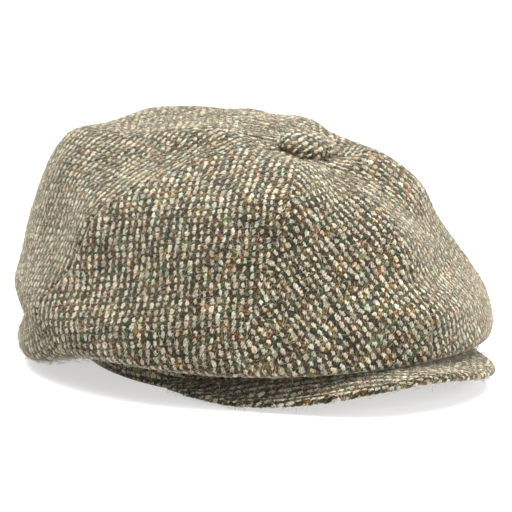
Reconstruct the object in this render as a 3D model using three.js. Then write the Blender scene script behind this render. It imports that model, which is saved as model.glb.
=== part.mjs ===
import * as THREE from 'three';

// Eight-panel flat cap of tweed: eight gores, a covered button, a headband and a stiff peak.
// Millimetres, +Z up, the peak towards -Y, the headband's bottom edge at Z = 0.

// Head and band
const HEAD_HALF_WIDTH = 81.5;
const HEAD_HALF_LENGTH = 99.5;
const BAND_THICKNESS = 2.5;
const BAND_HEIGHT = 20;
const BAND_CHAMFER = 0.6;

// Crown
const CLOTH_THICKNESS = 1.8;
const CROWN_RADIUS = 130;
const CROWN_RISE = 106;
const PANEL_COUNT = 8;
const PANEL_RIDGE = 4.5;
const FOLD_DEPTH = 5;
const BUTTON_FORWARD = 39;
const SEAT_RISE = 92.5;
const SEAT_SLOPE = 0.3;

// Button
const BUTTON_RADIUS = 15;
const BUTTON_RIM = 2;
const BUTTON_DOME = 5.5;
const SHANK_RADIUS = 2.2;
const SHANK_CLEARANCE = 0.4;
const SEAT_MARGIN = 3;

// Peak
const PEAK_DEPTH = 44.5;
const PEAK_THICKNESS = 5;
const PEAK_HALF_ANGLE = 68;
const PEAK_ARCH = 2.2;
const PEAK_TWIST = 2.3;
const PEAK_TWIST_REACH = 0.26;

// Gap left between pieces that are sewn together
const GAP = 0.3;

// Crown stations, front to back, as shares of the crown's radius and rise above the band.
// sweep is how far the seam drifts to the rear, in degrees.
const STATION_COUNT = 6;
const CROWN_ROWS = [
  {
    angle: 0,
    radius: [0.200, 0.375, 0.615, 0.820, 0.955, 0.970],
    rise: [0.788, 0.700, 0.553, 0.308, 0.092, 0.005],
    sweep: [0, 0, 0, 0, 0, 0],
  },
  {
    angle: 45,
    radius: [0.285, 0.485, 0.615, 0.762, 0.880, 0.892],
    rise: [0.853, 0.715, 0.522, 0.315, 0.118, -0.020],
    sweep: [2, 0, 0, 0, 0, 0],
  },
  {
    angle: 90,
    radius: [0.275, 0.512, 0.757, 0.870, 0.960, 0.910],
    rise: [0.895, 0.783, 0.623, 0.355, 0.142, -0.008],
    sweep: [14, 17.5, 17.5, 13, 13, 0],
  },
  {
    angle: 135,
    radius: [0.362, 0.690, 0.915, 0.992, 0.986, 0.927],
    rise: [0.955, 0.885, 0.853, 0.506, 0.155, -0.120],
    sweep: [2, 11, 14, 10, 4, 0],
  },
  {
    angle: 180,
    radius: [0.375, 0.722, 0.975, 1.073, 1.074, 0.936],
    rise: [0.982, 0.958, 0.856, 0.514, 0.182, -0.030],
    sweep: [0, 0, 0, 0, 0, 0],
  },
];

// The stations' centre moves from the button back to the band, as shares of BUTTON_FORWARD.
// ridge is how far the seams stand proud of the panels, as shares of PANEL_RIDGE.
const HOLE_LEVEL = 0;
const SEAT_LEVEL = 1;
const FIRST_STATION = 2;
const BAND_OUTER_LEVEL = FIRST_STATION + STATION_COUNT;
const BAND_INNER_LEVEL = BAND_OUTER_LEVEL + 1;
const LEVELS = {
  centre: [1, 1, 0.97, 0.85, 0.62, 0.36, 0.15, 0.08, 0, 0],
  ridge: [0, 0, 0.3, 0.8, 1, 0.8, 0.3, 0, 0, 0],
  steps: [2, 2, 3, 3, 3, 3, 3, 2, 1],
};

// Main dents (positive) and bulges (negative), as shares of FOLD_DEPTH.
// angle and its spread are in degrees, level and its spread in stations.
const FOLDS = [
  { name: 'notch at the rear right', angle: 127, level: 6.3, depth: 1.5, angleSpread: 16, levelSpread: 0.22 },
  { name: 'bulge above that notch', angle: 127, level: 5.95, depth: -0.5, angleSpread: 18, levelSpread: 0.25 },
  { name: 'sag at the rear right', angle: 112, level: 7.4, depth: -2.0, angleSpread: 19, levelSpread: 0.6 },
  { name: 'hollow under the side seam', angle: 104, level: 4.6, depth: 0.7, angleSpread: 11, levelSpread: 0.5 },
  { name: 'hollow before the side seam', angle: 79, level: 4.7, depth: 0.9, angleSpread: 10, levelSpread: 0.8 },
  { name: 'hollow before the first seam', angle: 36, level: 5.0, depth: 0.5, angleSpread: 9, levelSpread: 1.1 },
  { name: 'dent across the front seam', angle: -6, level: 4.75, depth: 0.7, angleSpread: 22, levelSpread: 0.35 },
  { name: 'bulge below that dent', angle: -4, level: 5.5, depth: -0.6, angleSpread: 24, levelSpread: 0.32 },
  { name: 'bulge at the front left hem', angle: -42, level: 6.3, depth: -0.45, angleSpread: 22, levelSpread: 0.8 },
  { name: 'sag onto the left of the peak', angle: -42, level: 7.2, depth: -0.6, angleSpread: 18, levelSpread: 0.45 },
  { name: 'hollow at the front left', angle: -55, level: 3.8, depth: 1.0, angleSpread: 26, levelSpread: 1.1 },
  { name: 'slump of the left top', angle: -95, level: 2.8, depth: 1.0, angleSpread: 38, levelSpread: 0.8 },
  { name: 'slack over the rear left', angle: -118, level: 5.3, depth: 0.6, angleSpread: 18, levelSpread: 0.4 },
];

// Peak rows, from the centre to the wing tip.
// depth is a share of PEAK_DEPTH, arch of PEAK_ARCH, the edges' heights of the band's height.
const PEAK_ROWS = [
  { angle: 0.00, depth: 1.00, innerHeight: 0.65, outerHeight: 0.68, arch: 0.45 },
  { angle: 0.22, depth: 0.91, innerHeight: 0.60, outerHeight: 0.50, arch: 0.70 },
  { angle: 0.44, depth: 0.63, innerHeight: 0.46, outerHeight: 0.20, arch: 1.00 },
  { angle: 0.66, depth: 0.45, innerHeight: 0.27, outerHeight: 0.05, arch: 0.90 },
  { angle: 0.84, depth: 0.30, innerHeight: 0.14, outerHeight: 0.05, arch: 0.45 },
  { angle: 1.00, depth: 0.15, innerHeight: 0.08, outerHeight: 0.07, arch: 0.15 },
];

// Colours from the photo
const CLOTH_COLOUR = 0x8f8672;
const BAND_COLOUR = 0x6f6859;

// Mesh fineness, with the peak's edge as turns in degrees
const PANEL_COLUMNS = 8;
const BAND_SEGMENTS = 56;
const PEAK_SEGMENTS = 30;
const PEAK_ACROSS = 6;
const PEAK_EDGE_TURNS = [-50, 0, 50];
const BUTTON_SEGMENTS = 32;
const BUTTON_DOME_STEPS = 5;

// Plain maths
const toRadians = THREE.MathUtils.degToRad;

function catmull(a, b, c, d, t) {
  return 0.5 * (2 * b + (c - a) * t + (2 * a - 5 * b + 4 * c - d) * t * t + (3 * b - a - 3 * c + d) * t * t * t);
}

function alongList(list, position) {
  const last = list.length - 1;
  const k = Math.min(Math.floor(position), last - 1);
  const before = k > 0 ? list[k - 1] : 2 * list[0] - list[1];
  const after = k + 2 <= last ? list[k + 2] : 2 * list[last] - list[last - 1];
  return catmull(before, list[k], list[k + 1], after, position - k);
}

function ellipseRadius(degrees, halfWidth, halfLength) {
  const angle = toRadians(degrees);
  return 1 / Math.hypot(Math.sin(angle) / halfWidth, Math.cos(angle) / halfLength);
}

function bandInner(degrees) {
  return ellipseRadius(degrees, HEAD_HALF_WIDTH, HEAD_HALF_LENGTH);
}

function bandOuter(degrees) {
  return ellipseRadius(degrees, HEAD_HALF_WIDTH + BAND_THICKNESS, HEAD_HALF_LENGTH + BAND_THICKNESS);
}

// Angles run from the front towards the wearer's right, so the right side is -X.
function planPoint(degrees, radius, centreY, z) {
  const angle = toRadians(degrees);
  return new THREE.Vector3(-Math.sin(angle) * radius, centreY - Math.cos(angle) * radius, z);
}

// Crown surface: rows round the cap are mirrored left to right
const ROW_STEP = 360 / PANEL_COUNT;

function rowValue(index, column, station) {
  const wrapped = ((index % PANEL_COUNT) + PANEL_COUNT) % PANEL_COUNT;
  const mirrored = wrapped > PANEL_COUNT / 2;
  const row = CROWN_ROWS[mirrored ? PANEL_COUNT - wrapped : wrapped];
  const value = row[column][station];
  return column === 'sweep' && mirrored ? -value : value;
}

function roundTheCrown(degrees, column, station) {
  const position = degrees / ROW_STEP;
  const k = Math.floor(position);
  const [a, b, c, d] = [k - 1, k, k + 1, k + 2].map((index) => rowValue(index, column, station));
  return catmull(a, b, c, d, position - k);
}

function seatHeight(y) {
  return BAND_HEIGHT + SEAT_RISE + SEAT_SLOPE * (y + BUTTON_FORWARD);
}

function controlPoint(degrees, level) {
  const centreY = -BUTTON_FORWARD * LEVELS.centre[level];
  if (level <= SEAT_LEVEL) {
    const radius = level === HOLE_LEVEL ? SHANK_RADIUS + SHANK_CLEARANCE : BUTTON_RADIUS + SEAT_MARGIN;
    const seat = planPoint(degrees + roundTheCrown(degrees, 'sweep', 0) / 2, radius, centreY, 0);
    seat.z = seatHeight(seat.y);
    return seat;
  }
  if (level >= BAND_OUTER_LEVEL) {
    const radius = level === BAND_OUTER_LEVEL ? bandOuter(degrees) + GAP : bandInner(degrees);
    return planPoint(degrees, radius, centreY, BAND_HEIGHT + GAP);
  }
  const station = level - FIRST_STATION;
  const swept = degrees + roundTheCrown(degrees, 'sweep', station);
  const radius = CROWN_RADIUS * roundTheCrown(degrees, 'radius', station);
  const z = BAND_HEIGHT + CROWN_RISE * roundTheCrown(degrees, 'rise', station);
  return planPoint(swept, radius, centreY, z);
}

function smoothPoint(degrees, level) {
  const points = [];
  for (let k = 0; k <= BAND_INNER_LEVEL; k += 1) {
    points.push(controlPoint(degrees, k));
  }
  const point = new THREE.Vector3(
    alongList(points.map((p) => p.x), level),
    alongList(points.map((p) => p.y), level),
    alongList(points.map((p) => p.z), level),
  );
  if (level <= SEAT_LEVEL) {
    point.z = seatHeight(point.y);
  }
  if (level >= BAND_OUTER_LEVEL) {
    point.z = BAND_HEIGHT + GAP;
  }
  return point;
}

const SLOPE_STEP = 0.02;
const TURN_STEP = 1;

function smoothNormal(degrees, level) {
  const before = Math.max(level - SLOPE_STEP, 0);
  const after = Math.min(level + SLOPE_STEP, BAND_INNER_LEVEL);
  const down = smoothPoint(degrees, after).sub(smoothPoint(degrees, before));
  const round = smoothPoint(degrees + TURN_STEP, level).sub(smoothPoint(degrees - TURN_STEP, level));
  return round.cross(down).normalize();
}

function wrapDegrees(degrees) {
  return ((((degrees + 180) % 360) + 360) % 360) - 180;
}

// Folds fade out where the cloth is held: under the button and along the band.
function foldDepth(degrees, level) {
  const held = Math.min(level - SEAT_LEVEL, BAND_OUTER_LEVEL - level);
  if (held <= 0) {
    return 0;
  }
  let depth = 0;
  for (const fold of FOLDS) {
    const across = wrapDegrees(degrees - fold.angle) / fold.angleSpread;
    const along = (level - fold.level) / fold.levelSpread;
    depth += FOLD_DEPTH * fold.depth * Math.exp(-across * across - along * along);
  }
  return depth * Math.min(held, 1);
}

const RIDGE_POWER = 1.5;
const RIDGE_MEAN = 1 / (1 + RIDGE_POWER);

function outerPoint(seam, across, level) {
  const degrees = seam + ROW_STEP * across;
  const ridgeShape = Math.pow(Math.abs(2 * across - 1), RIDGE_POWER) - RIDGE_MEAN;
  const ridge = PANEL_RIDGE * alongList(LEVELS.ridge, level) * ridgeShape;
  const normal = smoothNormal(degrees, level);
  const point = smoothPoint(degrees, level).addScaledVector(normal, ridge - foldDepth(degrees, level));
  return { point, normal };
}

// Closed bodies from grids and rings
function solidFrom(vertices, faces) {
  const geometry = new THREE.BufferGeometry();
  geometry.setAttribute('position', new THREE.Float32BufferAttribute(vertices.flatMap((v) => [v.x, v.y, v.z]), 3));
  geometry.setIndex(faces.flat());
  const flat = geometry.toNonIndexed();
  flat.computeVertexNormals();
  return flat;
}

function pushQuad(faces, a, b, c, d) {
  faces.push([a, b, c], [a, c, d]);
}

function shellSolid(outer, inner) {
  const rows = outer.length;
  const columns = outer[0].length;
  const vertices = [...outer.flat(), ...inner.flat()];
  const at = (side, i, j) => side * rows * columns + i * columns + j;
  const faces = [];
  for (let i = 0; i + 1 < rows; i += 1) {
    for (let j = 0; j + 1 < columns; j += 1) {
      pushQuad(faces, at(0, i, j), at(0, i, j + 1), at(0, i + 1, j + 1), at(0, i + 1, j));
      pushQuad(faces, at(1, i, j), at(1, i + 1, j), at(1, i + 1, j + 1), at(1, i, j + 1));
    }
  }
  const edge = columns - 1;
  for (let i = 0; i + 1 < rows; i += 1) {
    pushQuad(faces, at(0, i, 0), at(0, i + 1, 0), at(1, i + 1, 0), at(1, i, 0));
    pushQuad(faces, at(0, i, edge), at(1, i, edge), at(1, i + 1, edge), at(0, i + 1, edge));
  }
  const hem = rows - 1;
  for (let j = 0; j + 1 < columns; j += 1) {
    pushQuad(faces, at(0, 0, j), at(1, 0, j), at(1, 0, j + 1), at(0, 0, j + 1));
    pushQuad(faces, at(0, hem, j), at(0, hem, j + 1), at(1, hem, j + 1), at(1, hem, j));
  }
  return solidFrom(vertices, faces);
}

function ringSolid(sections, closed) {
  const count = sections.length;
  const size = sections[0].length;
  const vertices = sections.flat();
  const faces = [];
  for (let i = 0; i < (closed ? count : count - 1); i += 1) {
    const next = (i + 1) % count;
    for (let j = 0; j < size; j += 1) {
      const up = (j + 1) % size;
      pushQuad(faces, i * size + j, next * size + j, next * size + up, i * size + up);
    }
  }
  if (!closed) {
    const last = (count - 1) * size;
    for (let j = 1; j + 1 < size; j += 1) {
      faces.push([0, j, j + 1], [last, last + j + 1, last + j]);
    }
  }
  return solidFrom(vertices, faces);
}

// Crown panels: the gap to the next panel is shared out between the two
function panelGeometry(seam) {
  const levels = [0];
  LEVELS.steps.forEach((steps, k) => {
    for (let i = 1; i <= steps; i += 1) {
      levels.push(k + i / steps);
    }
  });
  const outer = [];
  const inner = [];
  for (const level of levels) {
    const width = smoothPoint(seam, level).distanceTo(smoothPoint(seam + ROW_STEP, level));
    const margin = GAP / 2 / width;
    const row = [];
    for (let j = 0; j <= PANEL_COLUMNS; j += 1) {
      row.push(outerPoint(seam, margin + (1 - 2 * margin) * (j / PANEL_COLUMNS), level));
    }
    outer.push(row.map(({ point }) => point));
    inner.push(row.map(({ point, normal }) => point.clone().addScaledVector(normal, -CLOTH_THICKNESS)));
  }
  return shellSolid(outer, inner);
}

// Headband: an oval strip with chamfered edges and a flat bottom
function headbandGeometry() {
  const sections = [];
  for (let i = 0; i < BAND_SEGMENTS; i += 1) {
    const degrees = (-360 * i) / BAND_SEGMENTS;
    const inside = bandInner(degrees);
    const outside = bandOuter(degrees);
    const c = BAND_CHAMFER;
    const profile = [
      [inside + c, 0],
      [outside - c, 0],
      [outside, c],
      [outside, BAND_HEIGHT - c],
      [outside - c, BAND_HEIGHT],
      [inside + c, BAND_HEIGHT],
      [inside, BAND_HEIGHT - c],
      [inside, c],
    ];
    sections.push(profile.map(([radius, z]) => planPoint(degrees, radius, 0, z)));
  }
  return ringSolid(sections, true);
}

// Peak: a stiff arched crescent with a rounded outer edge
function peakRow(share, column) {
  const shares = PEAK_ROWS.map((row) => row.angle);
  const values = PEAK_ROWS.map((row) => row[column]);
  let k = 0;
  while (k < shares.length - 2 && share > shares[k + 1]) {
    k += 1;
  }
  const position = k + (share - shares[k]) / (shares[k + 1] - shares[k]);
  const before = k > 0 ? values[k - 1] : values[1];
  const after = k + 2 < values.length ? values[k + 2] : 2 * values[k + 1] - values[k];
  return catmull(before, values[k], values[k + 1], after, position - k);
}

// The peak's front is twisted: higher towards the wearer's right, lower towards the left.
function peakTwist(along) {
  const reach = along / PEAK_TWIST_REACH;
  return PEAK_TWIST * Math.SQRT2 * reach * Math.exp(0.5 - reach * reach);
}

function peakGeometry() {
  const sections = [];
  const half = PEAK_THICKNESS / 2;
  for (let i = 0; i <= PEAK_SEGMENTS; i += 1) {
    const along = 1 - (2 * i) / PEAK_SEGMENTS;
    const share = Math.abs(along);
    const degrees = along * PEAK_HALF_ANGLE;
    const inside = bandOuter(degrees) + GAP;
    const outside = inside + PEAK_DEPTH * peakRow(share, 'depth') - half;
    const innerZ = BAND_HEIGHT * peakRow(share, 'innerHeight') + half;
    const outerZ = BAND_HEIGHT * peakRow(share, 'outerHeight') + half + peakTwist(along);
    const arch = PEAK_ARCH * peakRow(share, 'arch');
    const middle = (k) => {
      const s = k / PEAK_ACROSS;
      return [inside + (outside - inside) * s, innerZ + (outerZ - innerZ) * s + arch * 4 * s * (1 - s)];
    };
    const profile = [];
    for (let k = 0; k <= PEAK_ACROSS; k += 1) {
      const [radius, z] = middle(k);
      profile.push([radius, z - half]);
    }
    for (const turn of PEAK_EDGE_TURNS) {
      const angle = toRadians(turn);
      profile.push([outside + half * Math.cos(angle), outerZ + half * Math.sin(angle)]);
    }
    for (let k = PEAK_ACROSS; k >= 0; k -= 1) {
      const [radius, z] = middle(k);
      profile.push([radius, z + half]);
    }
    sections.push(profile.map(([radius, z]) => planPoint(degrees, radius, 0, z)));
  }
  return ringSolid(sections, false);
}

// Button: a domed disc on a shank that passes through the hole between the panel tips
function buttonGeometry() {
  const shankLength = CLOTH_THICKNESS + 2 * GAP;
  const profile = [
    [0, -shankLength],
    [SHANK_RADIUS, -shankLength],
    [SHANK_RADIUS, 0],
    [BUTTON_RADIUS - BUTTON_RIM / 2, 0],
    [BUTTON_RADIUS, BUTTON_RIM / 2],
    [BUTTON_RADIUS - BUTTON_RIM / 4, BUTTON_RIM],
  ];
  for (let i = 1; i <= BUTTON_DOME_STEPS; i += 1) {
    const angle = (Math.PI / 2) * (i / BUTTON_DOME_STEPS);
    const radius = (BUTTON_RADIUS - BUTTON_RIM / 4) * Math.cos(angle);
    profile.push([i === BUTTON_DOME_STEPS ? 0 : radius, BUTTON_RIM + BUTTON_DOME * Math.sin(angle)]);
  }
  const vertices = [new THREE.Vector3(0, 0, profile[0][1])];
  const faces = [];
  const rings = profile.slice(1, -1);
  for (const [radius, z] of rings) {
    for (let j = 0; j < BUTTON_SEGMENTS; j += 1) {
      const angle = (2 * Math.PI * j) / BUTTON_SEGMENTS;
      vertices.push(new THREE.Vector3(radius * Math.cos(angle), radius * Math.sin(angle), z));
    }
  }
  const top = vertices.length;
  vertices.push(new THREE.Vector3(0, 0, profile[profile.length - 1][1]));
  const at = (ring, j) => 1 + ring * BUTTON_SEGMENTS + (j % BUTTON_SEGMENTS);
  for (let j = 0; j < BUTTON_SEGMENTS; j += 1) {
    faces.push([0, at(0, j + 1), at(0, j)]);
    for (let ring = 0; ring + 1 < rings.length; ring += 1) {
      pushQuad(faces, at(ring, j), at(ring, j + 1), at(ring + 1, j + 1), at(ring + 1, j));
    }
    faces.push([at(rings.length - 1, j), at(rings.length - 1, j + 1), top]);
  }
  return solidFrom(vertices, faces);
}

// The assembled cap
const clothMaterial = new THREE.MeshStandardMaterial({ color: CLOTH_COLOUR, roughness: 0.95, metalness: 0 });
const bandMaterial = new THREE.MeshStandardMaterial({ color: BAND_COLOUR, roughness: 0.95, metalness: 0 });

const group = new THREE.Group();

function addPiece(name, geometry, material) {
  const mesh = new THREE.Mesh(geometry, material);
  mesh.name = name;
  group.add(mesh);
  return mesh;
}

const PANEL_NAMES = [
  'crown_panel_front_right',
  'crown_panel_side_right',
  'crown_panel_rear_right',
  'crown_panel_back_right',
  'crown_panel_back_left',
  'crown_panel_rear_left',
  'crown_panel_side_left',
  'crown_panel_front_left',
];
PANEL_NAMES.forEach((name, index) => {
  addPiece(name, panelGeometry(index * ROW_STEP), clothMaterial);
});

addPiece('headband', headbandGeometry(), bandMaterial);
addPiece('peak', peakGeometry(), clothMaterial);

const button = addPiece('button', buttonGeometry(), clothMaterial);
button.rotation.x = Math.atan(SEAT_SLOPE);
button.position.set(0, -BUTTON_FORWARD, BAND_HEIGHT + SEAT_RISE);
button.translateZ(GAP);

// The origin is the bottom centre of the whole cap's box
const whole = new THREE.Box3().setFromObject(group);
const centre = whole.getCenter(new THREE.Vector3());
for (const piece of group.children) {
  piece.position.x -= centre.x;
  piece.position.y -= centre.y;
}

export default group;
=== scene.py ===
import math

import bpy
import numpy as np
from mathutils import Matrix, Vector


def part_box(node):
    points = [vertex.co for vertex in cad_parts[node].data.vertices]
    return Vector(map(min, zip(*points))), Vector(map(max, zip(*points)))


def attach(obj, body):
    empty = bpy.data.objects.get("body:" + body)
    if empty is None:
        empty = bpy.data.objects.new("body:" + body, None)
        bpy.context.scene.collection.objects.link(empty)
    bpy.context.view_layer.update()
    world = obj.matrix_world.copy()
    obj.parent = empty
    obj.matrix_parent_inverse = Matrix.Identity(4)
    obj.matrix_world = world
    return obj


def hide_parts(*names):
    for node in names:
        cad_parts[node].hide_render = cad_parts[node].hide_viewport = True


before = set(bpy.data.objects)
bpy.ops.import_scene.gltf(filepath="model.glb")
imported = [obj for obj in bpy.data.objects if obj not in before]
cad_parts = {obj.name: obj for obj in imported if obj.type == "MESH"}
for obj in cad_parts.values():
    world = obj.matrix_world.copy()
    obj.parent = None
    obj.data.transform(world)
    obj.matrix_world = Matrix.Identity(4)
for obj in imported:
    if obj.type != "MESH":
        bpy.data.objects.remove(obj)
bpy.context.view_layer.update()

# Crown
# Eight gores of heavy wool tweed, 1.8 mm thick, cut with the grain down their middle, sewn edge
# to edge, gathered under the button and turned in over the headband. The seams stand proud and
# the slack cloth slumps into soft dents, more at the rear right than elsewhere.

MM = 0.001
CROWN_RADIUS = 130 * MM
CROWN_RISE = 106 * MM
CLOTH_THICKNESS = 1.8 * MM
PANEL_RIDGE = 4.5 * MM
FOLD_DEPTH = 5 * MM
BUTTON_FORWARD = 39 * MM
SEAT_RISE = 92.5 * MM
SEAT_SLOPE = 0.3
SEAT_RADIUS = 18 * MM
HOLE_RADIUS = 2.6 * MM
SEWN_GAP = 0.3 * MM
BAND_THICKNESS = 2.5 * MM

band_low, band_high = (Vector(corner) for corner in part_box("headband"))
CAP_CENTRE = (band_low + band_high) / 2
BAND_HEIGHT = band_high.z
BAND_HALF_WIDTH = (band_high.x - band_low.x) / 2
BAND_HALF_LENGTH = (band_high.y - band_low.y) / 2

# Angles run from the front towards the wearer's right. radius and rise are shares of the crown's,
# sweep is the seam's drift to the rear in degrees, one value for each of six stations.
CROWN_ROWS = (
    dict(
        angle=0,
        radius=(0.200, 0.375, 0.615, 0.820, 0.955, 0.970),
        rise=(0.788, 0.700, 0.553, 0.308, 0.092, 0.005),
        sweep=(0, 0, 0, 0, 0, 0),
    ),
    dict(
        angle=45,
        radius=(0.285, 0.485, 0.615, 0.762, 0.880, 0.892),
        rise=(0.853, 0.715, 0.522, 0.315, 0.118, -0.020),
        sweep=(2, 0, 0, 0, 0, 0),
    ),
    dict(
        angle=90,
        radius=(0.275, 0.512, 0.757, 0.870, 0.960, 0.910),
        rise=(0.895, 0.783, 0.623, 0.355, 0.142, -0.008),
        sweep=(14, 17.5, 17.5, 13, 13, 0),
    ),
    dict(
        angle=135,
        radius=(0.362, 0.690, 0.915, 0.992, 0.986, 0.927),
        rise=(0.955, 0.885, 0.853, 0.506, 0.155, -0.120),
        sweep=(2, 11, 14, 10, 4, 0),
    ),
    dict(
        angle=180,
        radius=(0.375, 0.722, 0.975, 1.073, 1.074, 0.936),
        rise=(0.982, 0.958, 0.856, 0.514, 0.182, -0.030),
        sweep=(0, 0, 0, 0, 0, 0),
    ),
)
ROW_STEP = 45
STATION_CENTRES = (0.97, 0.85, 0.62, 0.36, 0.15, 0.08)
RIDGE_SHARES = (0, 0, 0.3, 0.8, 1, 0.8, 0.3, 0, 0, 0)
RIDGE_POWER = 1.5
RIDGE_MEAN = 0.4
SLOPE_STEP = 0.02
SEAT_LEVEL = 1
BAND_LEVEL = 8
INNER_LEVEL = 9

# Main dents (positive) and bulges (negative), as shares of the fold depth
FOLDS = (
    dict(name="notch at the rear right", angle=127, level=6.3, depth=1.5, wide=16, tall=0.22),
    dict(name="bulge above that notch", angle=127, level=5.95, depth=-0.5, wide=18, tall=0.25),
    dict(name="sag at the rear right", angle=112, level=7.4, depth=-2.0, wide=19, tall=0.6),
    dict(name="hollow under the side seam", angle=104, level=4.6, depth=0.7, wide=11, tall=0.5),
    dict(name="hollow before the side seam", angle=79, level=4.7, depth=0.9, wide=10, tall=0.8),
    dict(name="hollow before the first seam", angle=36, level=5.0, depth=0.5, wide=9, tall=1.1),
    dict(name="dent across the front seam", angle=-6, level=4.75, depth=0.7, wide=22, tall=0.35),
    dict(name="bulge below that dent", angle=-4, level=5.5, depth=-0.6, wide=24, tall=0.32),
    dict(name="bulge at the front left hem", angle=-42, level=6.3, depth=-0.45, wide=22, tall=0.8),
    dict(name="sag onto the left of the peak", angle=-42, level=7.2, depth=-0.6, wide=18, tall=0.45),
    dict(name="hollow at the front left", angle=-55, level=3.8, depth=1.0, wide=26, tall=1.1),
    dict(name="slump of the left top", angle=-95, level=2.8, depth=1.0, wide=38, tall=0.8),
    dict(name="slack over the rear left", angle=-118, level=5.3, depth=0.6, wide=18, tall=0.4),
)


def catmull(a, b, c, d, t):
    return 0.5 * (2 * b + (c - a) * t + (2 * a - 5 * b + 4 * c - d) * t**2 + (3 * b - a - 3 * c + d) * t**3)


def round_the_crown(column, station, degrees):
    right = [row[column][station] for row in CROWN_ROWS]
    turn = -1 if column == "sweep" else 1
    ring = np.array(right + [turn * value for value in right[-2:0:-1]], float)
    position = degrees / ROW_STEP
    k = np.floor(position).astype(int)
    before, here, after, beyond = (ring[(k + step) % len(ring)] for step in (-1, 0, 1, 2))
    return catmull(before, here, after, beyond, position - k)


def oval_radius(degrees, half_width, half_length):
    angle = np.radians(degrees)
    return 1 / np.hypot(np.sin(angle) / half_width, np.cos(angle) / half_length)


def plan_point(degrees, radius, centre_y, z):
    angle = np.radians(degrees)
    x = CAP_CENTRE.x - np.sin(angle) * radius
    y = CAP_CENTRE.y + centre_y - np.cos(angle) * radius
    return np.stack(np.broadcast_arrays(x, y, z), axis=-1)


def seat_height(y):
    return BAND_HEIGHT + SEAT_RISE + SEAT_SLOPE * (y - CAP_CENTRE.y + BUTTON_FORWARD)


def crown_stations(degrees):
    stations = []
    for radius in (HOLE_RADIUS, SEAT_RADIUS):
        swept = degrees + round_the_crown("sweep", 0, degrees) / 2
        seat = plan_point(swept, radius, -BUTTON_FORWARD, 0 * degrees)
        seat[..., 2] = seat_height(seat[..., 1])
        stations.append(seat)
    for station, centre in enumerate(STATION_CENTRES):
        swept = degrees + round_the_crown("sweep", station, degrees)
        radius = CROWN_RADIUS * round_the_crown("radius", station, degrees)
        z = BAND_HEIGHT + CROWN_RISE * round_the_crown("rise", station, degrees)
        stations.append(plan_point(swept, radius, -BUTTON_FORWARD * centre, z))
    outside = oval_radius(degrees, BAND_HALF_WIDTH, BAND_HALF_LENGTH) + SEWN_GAP
    inside = oval_radius(degrees, BAND_HALF_WIDTH - BAND_THICKNESS, BAND_HALF_LENGTH - BAND_THICKNESS)
    for radius in (outside, inside):
        stations.append(plan_point(degrees, radius, 0, BAND_HEIGHT + SEWN_GAP + 0 * degrees))
    return np.stack(stations)


def between_rows(rows, places):
    ends = np.concatenate([[2 * rows[0] - rows[1]], rows, [2 * rows[-1] - rows[-2]]])
    k = np.minimum(np.floor(places).astype(int), len(rows) - 2)
    t = (places - k).reshape((-1,) + (1,) * (rows.ndim - 1))
    return catmull(ends[k], ends[k + 1], ends[k + 2], ends[k + 3], t)


def smooth_crown(degrees, levels):
    points = between_rows(crown_stations(degrees), levels)
    seat = levels <= SEAT_LEVEL
    points[seat, :, 2] = seat_height(points[seat, :, 1])
    points[levels >= BAND_LEVEL, :, 2] = BAND_HEIGHT + SEWN_GAP
    return points


def unit(vectors):
    return vectors / np.maximum(np.linalg.norm(vectors, axis=-1, keepdims=True), 1e-12)


def crown_surface(seam, across, levels):
    """Points and normals of a gore: a row for each level, a column for each place across it."""
    degrees = seam + ROW_STEP * across
    down = smooth_crown(degrees, np.minimum(levels + SLOPE_STEP, INNER_LEVEL))
    down -= smooth_crown(degrees, np.maximum(levels - SLOPE_STEP, 0))
    around = smooth_crown(degrees + 1, levels) - smooth_crown(degrees - 1, levels)
    normals = unit(np.cross(around, down))
    ridge = np.abs(2 * across - 1) ** RIDGE_POWER - RIDGE_MEAN
    shares = between_rows(np.array(RIDGE_SHARES, float)[:, None], levels)
    height = PANEL_RIDGE * shares * ridge[None]
    held = np.clip(np.minimum(levels - SEAT_LEVEL, BAND_LEVEL - levels), 0, 1)[:, None]
    for fold in FOLDS:
        wide = ((degrees - fold["angle"] + 180) % 360 - 180) / fold["wide"]
        tall = (levels - fold["level"]) / fold["tall"]
        share = np.exp(-wide[None] ** 2 - tall[:, None] ** 2)
        height = height - FOLD_DEPTH * fold["depth"] * held * share
    return smooth_crown(degrees, levels) + normals * height[..., None], normals


# The weave is plain: light warp floats as ovals, one every second crossing, over a dark weft.
# Floats lie 3.8 mm apart on the diagonal, so the threads are 2.7 mm apart, with the yarn's uneven
# spinning drifting them a little.
THREAD_PITCH = 2.69 * MM
# Shifts and half sizes are in spacings of the floats, slants in degrees, tops in shares of the relief
FLOATS = (
    dict(thread="warp", shift=0.0, half_width=0.34, half_length=0.55, slant=45, top=1.0),
    dict(thread="weft", shift=0.5, half_width=0.66, half_length=0.46, slant=15, top=0.6),
)
RELIEF = 0.5 * MM
THREAD_DRIFTS = 14
DRIFT_WAVELENGTHS = (3, 14)
DRIFT_SHARE = 0.009


def drift(flat, seed):
    """Thread coordinates of flat cloth coordinates in metres."""
    chance = np.random.default_rng(seed)
    threads = flat / THREAD_PITCH
    result = threads.copy()
    for _ in range(THREAD_DRIFTS):
        wavelength = chance.uniform(*DRIFT_WAVELENGTHS)
        heading = chance.uniform(0, 2 * math.pi)
        push = chance.uniform(0, 2 * math.pi)
        phase = chance.uniform(0, 2 * math.pi)
        along = threads[..., 0] * math.cos(heading) + threads[..., 1] * math.sin(heading)
        wave = np.sin(2 * math.pi * along / wavelength + phase)
        size = DRIFT_SHARE * wavelength
        result[..., 0] += size * math.cos(push) * wave
        result[..., 1] += size * math.sin(push) * wave
    return result


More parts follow.
